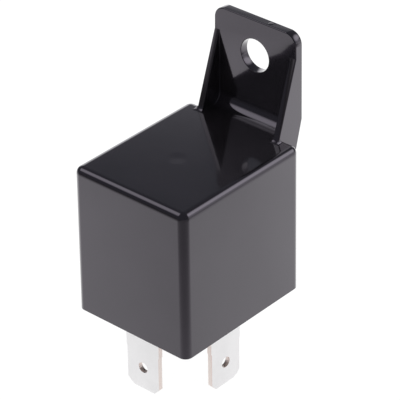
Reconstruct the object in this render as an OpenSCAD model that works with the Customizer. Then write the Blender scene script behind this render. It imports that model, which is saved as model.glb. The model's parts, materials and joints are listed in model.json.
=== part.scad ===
// Plug-in automotive relay with a moulded fixing bracket.
// Origin: centre of the underside, level with the rim of the case. +Z is up, the bracket
// stands on the +Y side, and the normally open contact's blade is on the -Y side.

/* [Case] */
// Width of the case at its rim
case_w = 22; // [19:0.1:26]
// Depth of the case at its rim
case_d = 26.2; // [23.5:0.1:30]
// Height of the case
case_h = 25; // [21:0.1:32]
// Thickness of the side walls
wall = 1.2; // [0.9:0.05:1.4]
// Thickness of the ceiling
roof = 1.3; // [0.9:0.05:1.6]
// Radius of the upright edges
edge_r = 1.3; // [1.2:0.05:2]
// Radius of the edge round the top
top_r = 1.15; // [0.5:0.05:1.2]
// Lean of each side wall, in degrees
draft = 0.23; // [0:0.01:0.5]
// Width of the inside ledge that stops the base
ledge = 0.25; // [0.15:0.05:0.4]
// Diameter of the shallow gate recess in the top
gate_d = 1.6; // [1:0.1:2.5]
// Depth of the gate recess
gate_depth = 0.06; // [0.03:0.01:0.2]
// Distance of the gate recess in front of the centre
gate_front = 1.4; // [0:0.1:3]
// Distance of the gate recess to the left of the centre
gate_left = 0.7; // [0:0.1:3]

/* [Bracket] */
// Width of the bracket at the level of the case's top
bracket_w = 16.1; // [14:0.1:18]
// Lean of each side of the bracket, in degrees
bracket_draft = 0.5; // [0:0.1:1]
// Distance of the plate's front face behind the case's back wall
bracket_offset = 2.35; // [2:0.05:4]
// Thickness of the plate
plate_t = 1.5; // [1.2:0.1:2.5]
// Height of the plate's top edge above the case
bracket_rise = 16.3; // [15:0.1:20]
// Radius of the plate's top corners
plate_corner_r = 2; // [1:0.1:3]
// Diameter of the fixing hole
hole_d = 5.4; // [4:0.1:6.5]
// Height of the fixing hole's centre above the case
hole_rise = 10.35; // [9:0.05:11]
// Thickness of the side gussets
gusset_t = 1.1; // [0.8:0.1:1.6]
// Height of the gussets above the case
gusset_rise = 12.4; // [10:0.1:14]
// Length of the gussets in front of the plate, at their feet
gusset_run = 4.1; // [3:0.1:6]
// Radius at the foot of the gussets' front edges, and under the floor
foot_r = 0.85; // [0.4:0.05:1.2]
// Radius between the plate and the floor in front of it
plate_foot_r = 1.5; // [0.8:0.05:2]
// Radius along the outer foot of each gusset
side_foot_r = 0.5; // [0.2:0.05:0.8]
// Height above the case at which the bracket's rear edge turns forward
rear_kink = 1.9; // [1:0.1:3]
// Forward run of the rear edge for each millimetre down
rear_slope = 0.28; // [0.24:0.01:0.4]
// Thickness of the floor between the gussets
floor_t = 1.5; // [1:0.1:2]

/* [Base and seal] */
// Thickness of the base plate
base_t = 2.4; // [2:0.1:3]
// Clearance between the base and the case
base_gap = 0.05; // [0.03:0.01:0.15]
// Width of the sealing gutter
gutter_w = 0.6; // [0.5:0.05:0.7]
// Height of the sealing gutter
gutter_h = 1.2; // [0.8:0.1:1.5]
// Depth of the resin's surface below the rim
resin_sink = 0.3; // [0.1:0.05:0.5]
// Height of the collars round the blades above the base plate
collar_h = 2; // [1:0.1:2.4]
// Clearance between a blade and its slot
slot_gap = 0.05; // [0.03:0.01:0.1]

/* [Terminals] */
// Width of a blade
blade_w = 6.3; // [6.1:0.1:6.5]
// Thickness of a blade
blade_t = 0.8; // [0.7:0.05:0.9]
// Length of a blade below the rim
blade_len = 11.43; // [9:0.01:13]
// Width of the cut corners at a blade's tip
tip_w = 1.05; // [0.6:0.05:1.4]
// Height of the cut corners at a blade's tip
tip_h = 1.15; // [0.6:0.05:1.6]
// Height of the bevel that thins a blade's tip
bevel_h = 0.6; // [0.3:0.05:1]
// Depth of the bevel on each face
bevel_t = 0.15; // [0.05:0.05:0.25]
// Diameter of the latch hole in a blade
latch_d = 1.8; // [1.5:0.05:2]
// Height of the latch hole above the tip
latch_rise = 4; // [3.5:0.1:4.5]
// Extra width of a blade's shoulder, in all
shoulder = 0.25; // [0:0.05:0.4]
// Height of the shoulder above the tip
shoulder_rise = 6.9; // [6:0.1:9]
// Distance from the inside of the case's front to blade 87
front_inset = 1.16; // [0.8:0.01:1.6]
// Distance from the inside of the case's back to blade 30
rear_inset = 2.19; // [1.6:0.01:3]
// Distance from the inside of the case's sides to blades 85 and 86
side_inset = 1.2; // [0.8:0.01:1.6]
// Distance from blade 87's mid plane to the middle of blades 85 and 86
pitch_coil = 8.78; // [7.5:0.01:9.5]

/* [Magnet] */
// Gap between the riser of terminal 87 and the bobbin
riser_gap = 0.94; // [0.5:0.02:1.5]
// Gap between the yoke and the inside of the case's back
yoke_gap = 2.45; // [1.2:0.05:3]
// Thickness of the yoke
yoke_t = 1.8; // [1.5:0.1:2]
// Set-back of the yoke's edges from the bobbin's flanges
yoke_inset = 0.4; // [0.2:0.05:1]
// Length of the yoke's foot in front of the coil's axis
yoke_foot = 4.5; // [4:0.1:6]
// Radius of the core's shaft
core_r = 3; // [2.5:0.05:3.2]
// Gap between the core's pole head and the arm of terminal 87
pole_gap = 0.8; // [0.6:0.05:1.2]
// Thickness of the core's pole head
pole_t = 1; // [0.8:0.05:1.2]
// Radius of the core's riveted tail
tail_r = 2.4; // [1.8:0.05:2.45]
// Thickness of the bobbin's flanges
flange_t = 0.9; // [0.7:0.05:1.2]
// Wall of the bobbin's tube
tube_t = 1; // [0.6:0.05:1.2]
// Clearance between the core and the bobbin
core_gap = 0.05; // [0.03:0.01:0.1]
// Depth of bare flange outside the winding
flange_rim = 0.3; // [0.2:0.05:0.6]
// Diameter of the coil's wire ends
wire_d = 0.25; // [0.15:0.01:0.3]
// Turns of each wire end round its terminal
wire_turns = 3; // [2:1:4]

/* [Armature and contacts] */
// Thickness of the armature
armature_t = 1.5; // [1.2:0.05:1.6]
// Set-back of the armature's sides from the yoke's
armature_inset = 1; // [0.5:0.1:2]
// Gap between the armature's front edge and the moving contact
armature_gap = 0.6; // [0.4:0.05:1]
// Set-back of the armature's rear edge from the yoke's rear face
armature_back = 0.8; // [0.75:0.05:1]
// Opening angle of the armature, in degrees
open_angle = 3.2; // [2.5:0.1:3.6]
// Gap left between closed iron faces
iron_gap = 0.02; // [0.01:0.01:0.05]
// Thickness of the contact spring
leaf_t = 0.3; // [0.2:0.05:0.35]
// Width of the contact spring's leg and hinge
leaf_w = 8; // [7:0.1:9]
// Width of the contact spring's front end
leaf_tip_w = 5; // [4.4:0.1:6]
// Width of the window in the contact spring's bend
window_w = 3; // [2:0.1:3.2]
// Radius of the contact spring's bend, at mid thickness
bend_r = 0.9; // [0.8:0.05:1]
// Length of the contact spring's leg below the yoke's top
leg_len = 8; // [7:0.1:10]
// Distance of the contacts behind blade 87's mid plane
contact_back = 2.34; // [2.2:0.02:2.6]
// Radius of the contact buttons
contact_r = 1.5; // [1.2:0.05:1.6]
// Height of the fixed contact's button
contact_h = 0.6; // [0.4:0.05:0.7]
// Gap between the closed contacts
closed_gap = 0.03; // [0.02:0.01:0.05]
// Radius of the rivets' shanks
rivet_r = 0.7; // [0.5:0.05:0.8]
// Radius of the rivets' heads
rivet_head_r = 1.2; // [1:0.05:1.4]
// Height of the rivets' heads
rivet_head_h = 0.4; // [0.3:0.05:0.5]
// Distance between a pair of rivets
rivet_pitch = 4.6; // [4.4:0.1:5]
// Clearance round a rivet's shank
rivet_gap = 0.02; // [0.01:0.01:0.05]
// Thickness of the backstop's strip
stop_t = 0.6; // [0.5:0.05:0.8]
// Width of the backstop's upright
stop_w = 2.2; // [1.8:0.1:2.4]
// Gap between the backstop and the ceiling
head_gap = 1; // [0.6:0.05:1.5]

/* [Hidden] */

// A small overshoot for cuts that have to pass right through
over = 1;
// Steps in a quarter of a small rounded corner
corner_steps = 6;
// Facets round the case's moulded edges
hull_steps = 40;
// Clearance between parts that stand side by side inside
side_gap = 0.4;
// Inside radius of a bend in sheet metal
sheet_r = 0.4;
// Thinnest rib of the base between or round two slots
rib_t = 0.2;
// Overlap that joins two shapes of one piece
sink = 0.1;
// Thickness of a flat ring that a hull starts from
ring_t = 0.01;
// Radius of the base's corners
base_r = 0.6;
// Height of the shelf under terminal 30 above the base plate
shelf_rise = 0.6;
// Set-back of the base's pads from the yoke's edges and holes
pad_inset = 1;
// Rim of terminal 87's arm round the fixed contact
arm_rim = 0.2;
// Height of the moving contact's upset head
tack_h = 0.3;
// Width of a coil terminal's post
post_w = 1;
// Height of a coil terminal's post above the bobbin's foot
post_rise = 1.2;
// Chamfer on the contact buttons and the pole head
button_cut = 0.15;
// Radius of the bobbin's flange corners
flange_r = 2;
// Climb of a wire end in one turn, as a multiple of its diameter
wire_climb = 1.2;

// Bracket
case_back = case_d / 2;
plate_y = case_back + bracket_offset;
plate_rear = plate_y + plate_t;
plate_top = case_h + bracket_rise;
gusset_y = plate_y - gusset_run;
kink_z = case_h + rear_kink;
rib_z = kink_z - (plate_rear - case_back + wall / 2) / rear_slope;
hole_z = case_h + hole_rise;

// Plan positions, measured along X and Y
coil_x = case_w / 2 - wall - side_inset - blade_t / 2;
blade_87 = wall + front_inset + blade_t / 2 - case_d / 2;
blade_30 = case_back - wall - rear_inset - blade_w / 2;
blade_coil = blade_87 + pitch_coil;
yoke_rear = case_back - wall - ledge - yoke_gap;
yoke_front = yoke_rear - yoke_t;
flange_front = blade_87 + blade_t / 2 + riser_gap;
flange_w = 2 * coil_x - blade_t - 2 * side_gap;
flange_d = yoke_front - side_gap - flange_front;
axis_y = flange_front + flange_d / 2;
yoke_w = flange_w - 2 * yoke_inset;
winding_r = min(flange_w, flange_d) / 2 - flange_rim;
tube_r = core_r + core_gap + tube_t;

// Contacts and armature, seen from above
contact_y = blade_87 + contact_back;
tip_y = contact_y - contact_r;
arm_end = contact_y + contact_r + arm_rim;
pole_r = axis_y - arm_end - pole_gap;
armature_w = yoke_w - 2 * armature_inset;
armature_edge = contact_y + contact_r + armature_gap;
hinge_y = yoke_rear - armature_back;
shank_r = 0.5 * contact_r;
tack_r = 0.6 * contact_r;

// Heights from the ceiling down: backstop, lifted contact, closed armature and pole
stop_z = case_h - roof - head_gap - stop_t;
hinge_z = stop_z - iron_gap - tack_r * sin(open_angle) - (hinge_y - contact_y) * sin(open_angle)
    - (armature_t + leaf_t + tack_h) * cos(open_angle);
pole_z = hinge_z - iron_gap;
leaf_z = hinge_z + armature_t;
fixed_top = pole_z + contact_h;
button_h = leaf_z - fixed_top - closed_gap;

// Heights from the base up: shelf, terminal 30 and core, yoke, bobbin
shelf_z = base_t + shelf_rise;
foot_z = shelf_z + blade_t;
bobbin_z = foot_z + yoke_t;
bobbin_top = pole_z - pole_t;
collar_z = base_t + collar_h;

// Contact spring's bend, from the upright leg to the lifted blade
leg_y = yoke_rear + leaf_t / 2;
lift = hinge_z + (leaf_z + leaf_t / 2 - hinge_z) * cos(open_angle);
lift_y = hinge_y + (leaf_z + leaf_t / 2 - hinge_z) * sin(open_angle);
bend_y = leg_y - bend_r;
bend_z = lift - (bend_y + bend_r * sin(open_angle) - lift_y) * tan(open_angle) - bend_r * cos(open_angle);
leg_z = pole_z - leg_len;
yoke_rivet_z = leg_z + 2 * rivet_head_r;

// Rivet through terminal 30 and the yoke
terminal_rivet_x = yoke_w / 4;
terminal_rivet_y = blade_30 - blade_w / 4;

// Coil terminals' posts
stem = blade_w / 4;
post_z = bobbin_z + post_rise;
post_top = post_z + wire_d * (wire_turns + 3);

// Backstop's foot, beside blade 87
stop_x = (blade_w + shoulder) / 2 + 2 * slot_gap + rib_t;
stop_foot = gutter_h + rib_t;

// Points on an arc
function arc(x, y, r, from, to, n) =
    [for (i = [0:n]) let (a = from + (to - from) * i / n) [x + r * cos(a), y + r * sin(a)]];

// Outline of a rectangle with round corners
function rounded(w, d, r) = concat(
    arc(w / 2 - r, d / 2 - r, r, 0, 90, corner_steps),
    arc(r - w / 2, d / 2 - r, r, 90, 180, corner_steps),
    arc(r - w / 2, r - d / 2, r, 180, 270, corner_steps),
    arc(w / 2 - r, r - d / 2, r, 270, 360, corner_steps));

// An outline in Y and Z, drawn out along X
module along_x(from, to) {
    translate([from, 0, 0]) rotate([90, 0, 90]) linear_extrude(to - from) children();
}

// An outline in X and Z, drawn out along Y
module along_y(from, to) {
    translate([0, to, 0]) rotate([90, 0, 0]) linear_extrude(to - from) children();
}

// Swings what is drawn closed to its place at rest
module lifted() {
    translate([0, hinge_y, hinge_z]) rotate([-open_angle, 0, 0])
        translate([0, -hinge_y, -hinge_z]) children();
}

// A rivet along Z: shank from 0 up to grip, domed head on top
module rivet(grip, r = rivet_r) {
    rotate_extrude($fn = 32) polygon(concat([[0, 0], [r, 0], [r, grip], [rivet_head_r, grip]],
        [for (i = [1:5]) let (a = 90 * i / 5)
            [rivet_head_r * cos(a), grip + rivet_head_h * sin(a)]]));
}

// ---- Case ----

// Quarter-round profile of one top corner of the case
module corner_profile() {
    polygon(concat([[0, 0]], arc(edge_r - top_r, 0, top_r, 0, 90, hull_steps / 4), [[0, top_r]]));
}

module case_block() {
    lean = tan(draft) * (case_h - top_r);
    hull() for (sx = [-1, 1], sy = [-1, 1]) {
        translate([sx * (case_w / 2 - edge_r), sy * (case_d / 2 - edge_r), 0])
            cylinder(r = edge_r, h = ring_t, $fn = hull_steps);
        translate([sx * (case_w / 2 - lean - edge_r), sy * (case_d / 2 - lean - edge_r), case_h - top_r])
            rotate_extrude($fn = hull_steps) corner_profile();
    }
}

// Side view of the bracket: plate, gussets and the ribs down the back wall
module bracket_side() {
    lean = atan(gusset_run / gusset_rise);
    foot_y = gusset_y - foot_r * tan((90 - lean) / 2);
    root_z = case_h - roof / 2;
    polygon(concat(
        [[plate_rear, plate_top], [plate_y, plate_top], [plate_y, case_h + gusset_rise]],
        arc(foot_y, case_h + foot_r, foot_r, -lean, -90, corner_steps),
        [[foot_y, root_z], [case_back - wall / 2, root_z], [case_back - wall / 2, rib_z],
        [plate_rear, kink_z]]));
}

// Front view of the bracket, with its rounded top corners
module bracket_front() {
    half = bracket_w / 2;
    top = half - bracket_rise * tan(bracket_draft);
    low = half + case_h * tan(bracket_draft);
    polygon(concat([[-low, 0], [low, 0]],
        arc(top - plate_corner_r, plate_top - plate_corner_r, plate_corner_r, 0, 90, 2 * corner_steps),
        arc(plate_corner_r - top, plate_top - plate_corner_r, plate_corner_r, 90, 180, 2 * corner_steps)));
}

// Space between the gussets, in front of the plate and above the floor
module front_pocket_side() {
    polygon(concat([[0, plate_top + over], [0, case_h]],
        arc(plate_y - plate_foot_r, case_h + plate_foot_r, plate_foot_r, -90, 0, corner_steps),
        [[plate_y, plate_top + over]]));
}

// Space between the ribs, under the floor and behind the back wall
module rear_pocket_side() {
    floor_z = case_h - floor_t;
    root_y = case_back - wall / 2;
    wall_y = case_back - floor_z * tan(draft);
    polygon(concat([[plate_rear + over, 0], [root_y, 0], [root_y, floor_z - foot_r]],
        arc(wall_y + foot_r, floor_z - foot_r, foot_r, 180, 90, corner_steps),
        [[plate_rear + over, floor_z]]));
}

// Fillet along the outer foot of a gusset, seen from the front
module side_foot() {
    foot_x = bracket_w / 2;
    polygon(concat([[foot_x - sink, case_h - sink], [foot_x + side_foot_r, case_h - sink]],
        arc(foot_x + side_foot_r, case_h + side_foot_r, side_foot_r, 270, 180, corner_steps),
        [[foot_x - sink, case_h + side_foot_r]]));
}

// Fixing bracket: plate and gussets in front, ribs behind, a floor between them
module bracket() {
    inner = bracket_w / 2 - gusset_t;
    difference() {
        intersection() {
            along_x(-bracket_w, bracket_w) bracket_side();
            union() {
                along_y(0, plate_rear + over) bracket_front();
                along_y(0, case_back - top_r) side_foot();
                along_y(0, case_back - top_r) mirror([1, 0]) side_foot();
            }
        }
        along_x(-inner, inner) front_pocket_side();
        along_x(-inner, inner) rear_pocket_side();
        translate([0, plate_rear + over, hole_z]) rotate([90, 0, 0])
            cylinder(d = hole_d, h = plate_t + 2 * over, $fn = 64);
    }
}

module case_cavity() {
    in_w = case_w - 2 * wall;
    in_d = case_d - 2 * wall;
    translate([0, 0, -over]) linear_extrude(base_t + over) polygon(rounded(in_w, in_d, base_r));
    translate([0, 0, base_t - sink]) linear_extrude(case_h - roof - base_t + sink)
        polygon(rounded(in_w - 2 * ledge, in_d - 2 * ledge, base_r));
}

module case() {
    color("#26252a") difference() {
        union() {
            case_block();
            bracket();
        }
        case_cavity();
        translate([-gate_left, -gate_front, case_h - gate_depth])
            cylinder(d = gate_d, h = over, $fn = 32);
    }
}

// ---- Base and seal ----

base_w = case_w - 2 * wall - 2 * base_gap;
base_d = case_d - 2 * wall - 2 * base_gap;

// A block between two opposite corners
module block(low, high) {
    translate(low) cube(high - low);
}

// A slot or collar round one blade: across is its size along X, deep its size along Y
module around(x, y, across, deep, from, to) {
    block([x - across / 2, y - deep / 2, from], [x + across / 2, y + deep / 2, to]);
}

module blade_slots() {
    wide = blade_w + shoulder + 2 * slot_gap;
    thin = blade_t + 2 * slot_gap;
    around(0, blade_87, wide, thin, -over, collar_z + over);
    around(0, blade_30, thin, wide, -over, collar_z + over);
    for (side = [-1, 1]) around(side * coil_x, blade_coil, thin, wide, -over, collar_z + over);
}

module base() {
    pad_x = yoke_w / 2 - pad_inset;
    step_y = axis_y + tail_r + pad_inset;
    color("#1f1e22") difference() {
        union() {
            translate([0, 0, gutter_h]) linear_extrude(base_t - gutter_h)
                polygon(rounded(base_w, base_d, base_r));
            linear_extrude(gutter_h + sink)
                polygon(rounded(base_w - 2 * gutter_w, base_d - 2 * gutter_w, base_r));
            // Pads under the yoke's foot, the front one full height and the rear one lower
            block([-pad_x, axis_y - yoke_foot, base_t - sink], [pad_x, step_y, foot_z]);
            block([-pad_x, step_y - sink, base_t - sink], [pad_x, blade_30 + blade_w / 2, shelf_z]);
            // Collars that hold the front and side terminals
            around(0, blade_87, 2 * (stop_x + stop_w + 2 * rib_t), blade_t + 4 * rib_t,
                base_t - sink, collar_z);
            for (side = [-1, 1]) around(side * coil_x, blade_coil, blade_t + 4 * rib_t,
                blade_w + shoulder + 4 * rib_t, base_t - sink, collar_z);
        }
        blade_slots();
        // Blind slot for the backstop's foot
        block([stop_x - slot_gap, blade_87 - blade_t / 2 - slot_gap, stop_foot - slot_gap],
            [stop_x + stop_w + slot_gap, blade_87 - blade_t / 2 + stop_t + slot_gap, collar_z + over]);
        // Relief for the inside of terminal 30's bend
        around(0, blade_30, blade_t + 2 * (sheet_r + slot_gap), blade_w + shoulder + 2 * slot_gap,
            shelf_z - sheet_r - slot_gap, shelf_z + over);
        // Relief under the terminal rivet's head
        translate([terminal_rivet_x, terminal_rivet_y, base_t])
            cylinder(r = rivet_head_r + rib_t, h = shelf_rise + over, $fn = 32);
    }
}

module seal() {
    color("#17161a") difference() {
        translate([0, 0, resin_sink]) linear_extrude(gutter_h - resin_sink)
            polygon(rounded(base_w + 2 * base_gap, base_d + 2 * base_gap, base_r));
        translate([0, 0, -over]) linear_extrude(gutter_h + 2 * over)
            polygon(rounded(base_w - 2 * gutter_w, base_d - 2 * gutter_w, base_r));
    }
}

// ---- Terminals ----

// Outline of a blade from its tip up to the level given, centred on u = 0
module blade_outline(top) {
    half = blade_w / 2;
    wide = half + shoulder / 2;
    step_z = shoulder_rise - blade_len;
    polygon([[-half + tip_w, -blade_len], [half - tip_w, -blade_len], [half, tip_h - blade_len],
        [half, step_z], [wide, step_z + shoulder / 2], [wide, top], [-wide, top],
        [-wide, step_z + shoulder / 2], [-half, step_z], [-half, tip_h - blade_len]]);
}

// Points of a blade's edge view, from the tip up: left side, and right side mirrored
function tip_left(mid) = [[mid - blade_t / 2, bevel_h - blade_len],
    [mid - blade_t / 2 + bevel_t, -blade_len]];
function tip_right(mid) = [[mid + blade_t / 2 - bevel_t, -blade_len],
    [mid + blade_t / 2, bevel_h - blade_len]];

// Edge view of a strip that rises at mid and turns towards positive u at the height given
module bent_strip(mid, top, reach) {
    left = mid - blade_t / 2;
    right = mid + blade_t / 2;
    r = sheet_r + blade_t;
    polygon(concat(tip_left(mid), tip_right(mid),
        arc(right + sheet_r, top - blade_t - sheet_r, sheet_r, 180, 90, corner_steps),
        [[reach, top - blade_t], [reach, top]],
        arc(left + r, top - r, r, 90, 180, corner_steps)));
}

module latch_hole() {
    rotate([90, 0, 0]) cylinder(d = latch_d, h = 4 * over, center = true, $fn = 32);
}

module terminal_87() {
    riser = leaf_tip_w / 2;
    color("#dcdad6") difference() {
        intersection() {
            along_x(-blade_w, blade_w)
                bent_strip(blade_87, pole_z, arm_end);
            along_y(-case_d, case_d) union() {
                blade_outline(collar_z);
                translate([-riser, collar_z - sink]) square([2 * riser, pole_z]);
            }
        }
        translate([0, blade_87, latch_rise - blade_len]) latch_hole();
        translate([0, contact_y, pole_z - 2 * blade_t])
            cylinder(r = shank_r + rivet_gap, h = 3 * blade_t, $fn = 32);
    }
}

module terminal_30() {
    color("#dcdad6") difference() {
        intersection() {
            along_y(-case_d, case_d) bent_strip(0, foot_z, terminal_rivet_x + 2 * rivet_head_r - rib_t);
            along_x(-case_w, case_w) translate([blade_30, 0]) blade_outline(foot_z + over);
        }
        translate([0, blade_30, latch_rise - blade_len]) rotate([0, 0, 90]) latch_hole();
        translate([terminal_rivet_x, terminal_rivet_y, 0])
            cylinder(r = rivet_r + rivet_gap, h = foot_z + over, $fn = 32);
    }
}

// Coil terminal: a flat stamping whose narrow post takes the end of the wire
module coil_terminal(side) {
    color("#dcdad6") difference() {
        intersection() {
            along_x(side * coil_x - blade_t / 2, side * coil_x + blade_t / 2)
                translate([blade_coil, 0]) union() {
                    blade_outline(collar_z);
                    polygon([[-stem, collar_z - sink], [stem, collar_z - sink],
                        [stem, post_z - post_rise / 2], [post_w / 2, post_z],
                        [post_w / 2, post_top], [-post_w / 2, post_top], [-post_w / 2, post_z],
                        [-stem, post_z - post_rise / 2]]);
                }
            along_y(-case_d, case_d) polygon(concat(tip_left(side * coil_x), tip_right(side * coil_x),
                [[side * coil_x + blade_t / 2, post_top], [side * coil_x - blade_t / 2, post_top]]));
        }
        translate([side * coil_x, blade_coil, latch_rise - blade_len]) rotate([0, 0, 90]) latch_hole();
    }
}

module terminal_85() {
    coil_terminal(1);
}

module terminal_86() {
    coil_terminal(-1);
}

module terminal_rivet() {
    color("#b9b6ae") translate([terminal_rivet_x, terminal_rivet_y, bobbin_z])
        rotate([180, 0, 0]) rivet(bobbin_z - shelf_z);
}

// ---- Magnet ----

module yoke() {
    outer = yoke_t + sheet_r;
    front = axis_y - yoke_foot;
    color("#b9bcc0") difference() {
        along_x(-yoke_w / 2, yoke_w / 2) polygon(concat(
            [[front, foot_z]],
            arc(yoke_rear - outer, foot_z + outer, outer, -90, 0, corner_steps),
            [[yoke_rear, pole_z], [yoke_front, pole_z]],
            arc(yoke_front - sheet_r, bobbin_z + sheet_r, sheet_r, 0, -90, corner_steps),
            [[front, bobbin_z]]));
        translate([0, axis_y, 0]) cylinder(r = tail_r + rivet_gap, h = bobbin_z + over, $fn = 48);
        translate([terminal_rivet_x, terminal_rivet_y, 0])
            cylinder(r = rivet_r + rivet_gap, h = bobbin_z + over, $fn = 32);
        for (side = [-1, 1]) translate([side * rivet_pitch / 2, yoke_rear + over, yoke_rivet_z])
            rotate([90, 0, 0]) cylinder(r = rivet_r + rivet_gap, h = yoke_t + 2 * over, $fn = 32);
    }
}

module core() {
    color("#c3c6c9") translate([0, axis_y, 0]) rotate_extrude($fn = 48) polygon([
        [0, foot_z], [tail_r, foot_z], [tail_r, bobbin_z], [core_r, bobbin_z],
        [core_r, bobbin_top], [pole_r, bobbin_top], [pole_r, pole_z - button_cut],
        [pole_r - button_cut, pole_z], [0, pole_z]]);
}

module flange(z) {
    translate([0, axis_y, z]) linear_extrude(flange_t) polygon(rounded(flange_w, flange_d, flange_r));
}

module bobbin() {
    color("#d8d2c4") difference() {
        union() {
            flange(bobbin_z);
            flange(bobbin_top - flange_t);
            translate([0, axis_y, bobbin_z]) cylinder(r = tube_r, h = bobbin_top - bobbin_z, $fn = 48);
        }
        translate([0, axis_y, bobbin_z - over])
            cylinder(r = core_r + core_gap, h = bobbin_top - bobbin_z + 2 * over, $fn = 48);
    }
}

// Rings of a tube swept along points, with the tube's sides kept upright
function unit(v) = v / norm(v);
function heading(p, i) = unit(p[min(i + 1, len(p) - 1)] - p[max(i - 1, 0)]);
function ring(p, i, r, n) = let (t = heading(p, i), u = unit(cross([0, 0, 1], t)), w = cross(t, u))
    [for (k = [0:n - 1]) p[i] + r * (cos(360 * k / n) * u + sin(360 * k / n) * w)];

module swept(p, r, n) {
    last = len(p) - 1;
    points = [for (i = [0:last]) for (q = ring(p, i, r, n)) q];
    sides = [for (i = [0:last - 1], k = [0:n - 1])
        [i * n + k, i * n + (k + 1) % n, (i + 1) * n + (k + 1) % n, (i + 1) * n + k]];
    start = [[for (k = [n - 1:-1:0]) k]];
    end = [[for (k = [0:n - 1]) last * n + k]];
    polyhedron(points, concat(sides, start, end), convexity = 6);
}

// Wire end: a few turns round the terminal's post, then straight back to the winding
function wire_path(side) = let (
    wrap = norm([post_w, blade_t]) / 2 + wire_d / 2 + closed_gap,
    z = post_z + wire_d,
    steps = 12,
    low = [side * (winding_r - 4 * wire_d), axis_y - core_r, z])
    concat([low, [side * (coil_x - 4 * wire_d), blade_coil - wrap, z]],
        [for (i = [0:steps * wire_turns]) let (a = -90 + side * 360 * i / steps)
            [side * coil_x + wrap * cos(a), blade_coil + wrap * sin(a),
                z + wire_climb * wire_d * i / steps]]);

module winding() {
    low = bobbin_z + flange_t;
    high = bobbin_top - flange_t;
    color("#a8521f") union() {
        translate([0, axis_y, 0]) rotate_extrude($fn = 64) polygon([
            [tube_r, low], [winding_r - wire_d / 2, low], [winding_r, low + wire_d / 2],
            [winding_r, high - wire_d / 2], [winding_r - wire_d / 2, high], [tube_r, high]]);
        for (side = [-1, 1]) swept(wire_path(side), wire_d / 2, 8);
    }
}

// ---- Armature and contacts ----

module armature() {
    color("#aeb2b6") lifted() difference() {
        translate([0, (armature_edge + hinge_y) / 2, hinge_z]) linear_extrude(armature_t)
            polygon(rounded(armature_w, hinge_y - armature_edge, armature_inset / 2));
        for (side = [-1, 1]) translate([side * rivet_pitch / 2, axis_y, hinge_z - over])
            cylinder(r = rivet_r + rivet_gap, h = armature_t + 2 * over, $fn = 32);
    }
}

// Edge view of the contact spring: upright leg, bend, and blade lifted by the opening angle
module leaf_side() {
    run = (tip_y - lift_y) / -cos(open_angle);
    dir = [-cos(open_angle), sin(open_angle)];
    up = [sin(open_angle), cos(open_angle)];
    tip = [lift_y, lift] + run * dir;
    polygon(concat(
        [[leg_y + leaf_t / 2, leg_z]],
        arc(bend_y, bend_z, bend_r + leaf_t / 2, 0, 90 - open_angle, corner_steps),
        [tip + leaf_t / 2 * up, tip - leaf_t / 2 * up],
        arc(bend_y, bend_z, bend_r - leaf_t / 2, 90 - open_angle, 0, corner_steps),
        [[leg_y - leaf_t / 2, leg_z]]));
}

module contact_spring() {
    neck = armature_edge + armature_gap;
    color("#c98f4a") difference() {
        along_x(-leaf_w / 2, leaf_w / 2) leaf_side();
        // Narrow front end
        for (side = [-1, 1]) translate([side * (leaf_tip_w + leaf_w) / 2, neck - case_d / 2, leaf_z])
            cube([leaf_w, case_d, case_h], center = true);
        // Window that softens the bend
        translate([0, leg_y, bend_z]) cube([window_w, 4 * bend_r, 4 * bend_r], center = true);
        for (side = [-1, 1]) {
            translate([side * rivet_pitch / 2, yoke_rear + over, yoke_rivet_z]) rotate([90, 0, 0])
                cylinder(r = rivet_r + rivet_gap, h = 2 * over, $fn = 32);
            lifted() translate([side * rivet_pitch / 2, axis_y, leaf_z - over])
                cylinder(r = rivet_r + rivet_gap, h = 2 * over, $fn = 32);
        }
        lifted() translate([0, contact_y, leaf_z - over])
            cylinder(r = shank_r + rivet_gap, h = 2 * over + leaf_t, $fn = 32);
    }
}

module moving_contact() {
    color("#d9d9d4") lifted() translate([0, contact_y, leaf_z]) rotate_extrude($fn = 32) polygon([
        [0, -button_h], [contact_r - 2 * button_cut, -button_h], [contact_r, button_cut - button_h],
        [contact_r, 0],
        [shank_r, 0], [shank_r, leaf_t], [tack_r, leaf_t], [tack_r, leaf_t + tack_h / 2],
        [shank_r, leaf_t + tack_h], [0, leaf_t + tack_h]]);
}

module fixed_contact() {
    color("#d9d9d4") translate([0, contact_y, pole_z]) rotate_extrude($fn = 32) polygon([
        [0, -blade_t], [shank_r, -blade_t], [shank_r, 0], [contact_r, 0],
        [contact_r, contact_h - button_cut], [contact_r - 2 * button_cut, contact_h],
        [0, contact_h]]);
}

module armature_rivet(side) {
    color("#b9b6ae") lifted() translate([side * rivet_pitch / 2, axis_y, hinge_z])
        rivet(armature_t + leaf_t);
}

module armature_rivet_left() {
    armature_rivet(-1);
}

module armature_rivet_right() {
    armature_rivet(1);
}

module yoke_rivet(side) {
    color("#b9b6ae") translate([side * rivet_pitch / 2, yoke_front, yoke_rivet_z])
        rotate([-90, 0, 0]) rivet(yoke_t + leaf_t);
}

module yoke_rivet_left() {
    yoke_rivet(-1);
}

module yoke_rivet_right() {
    yoke_rivet(1);
}

// Stamped stop: an upright beside terminal 87, a cross arm, and a tab over the moving contact
module backstop() {
    left = blade_87 - blade_t / 2;
    right = left + stop_t;
    r = sheet_r + stop_t;
    top = stop_z + stop_t;
    arm_z = fixed_top + contact_h;
    color("#cfc9bd") intersection() {
        along_x(-case_w, case_w) polygon(concat([[left, stop_foot], [right, stop_foot]],
            arc(right + sheet_r, stop_z - sheet_r, sheet_r, 180, 90, corner_steps),
            [[contact_y + contact_r, stop_z], [contact_y + contact_r, top]],
            arc(left + r, top - r, r, 90, 180, corner_steps)));
        along_y(-case_d, case_d) polygon([[stop_x, 0], [stop_x + stop_w, 0],
            [stop_x + stop_w, case_h], [-leaf_tip_w / 2, case_h], [-leaf_tip_w / 2, arm_z],
            [stop_x, arm_z]]);
    }
}

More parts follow.
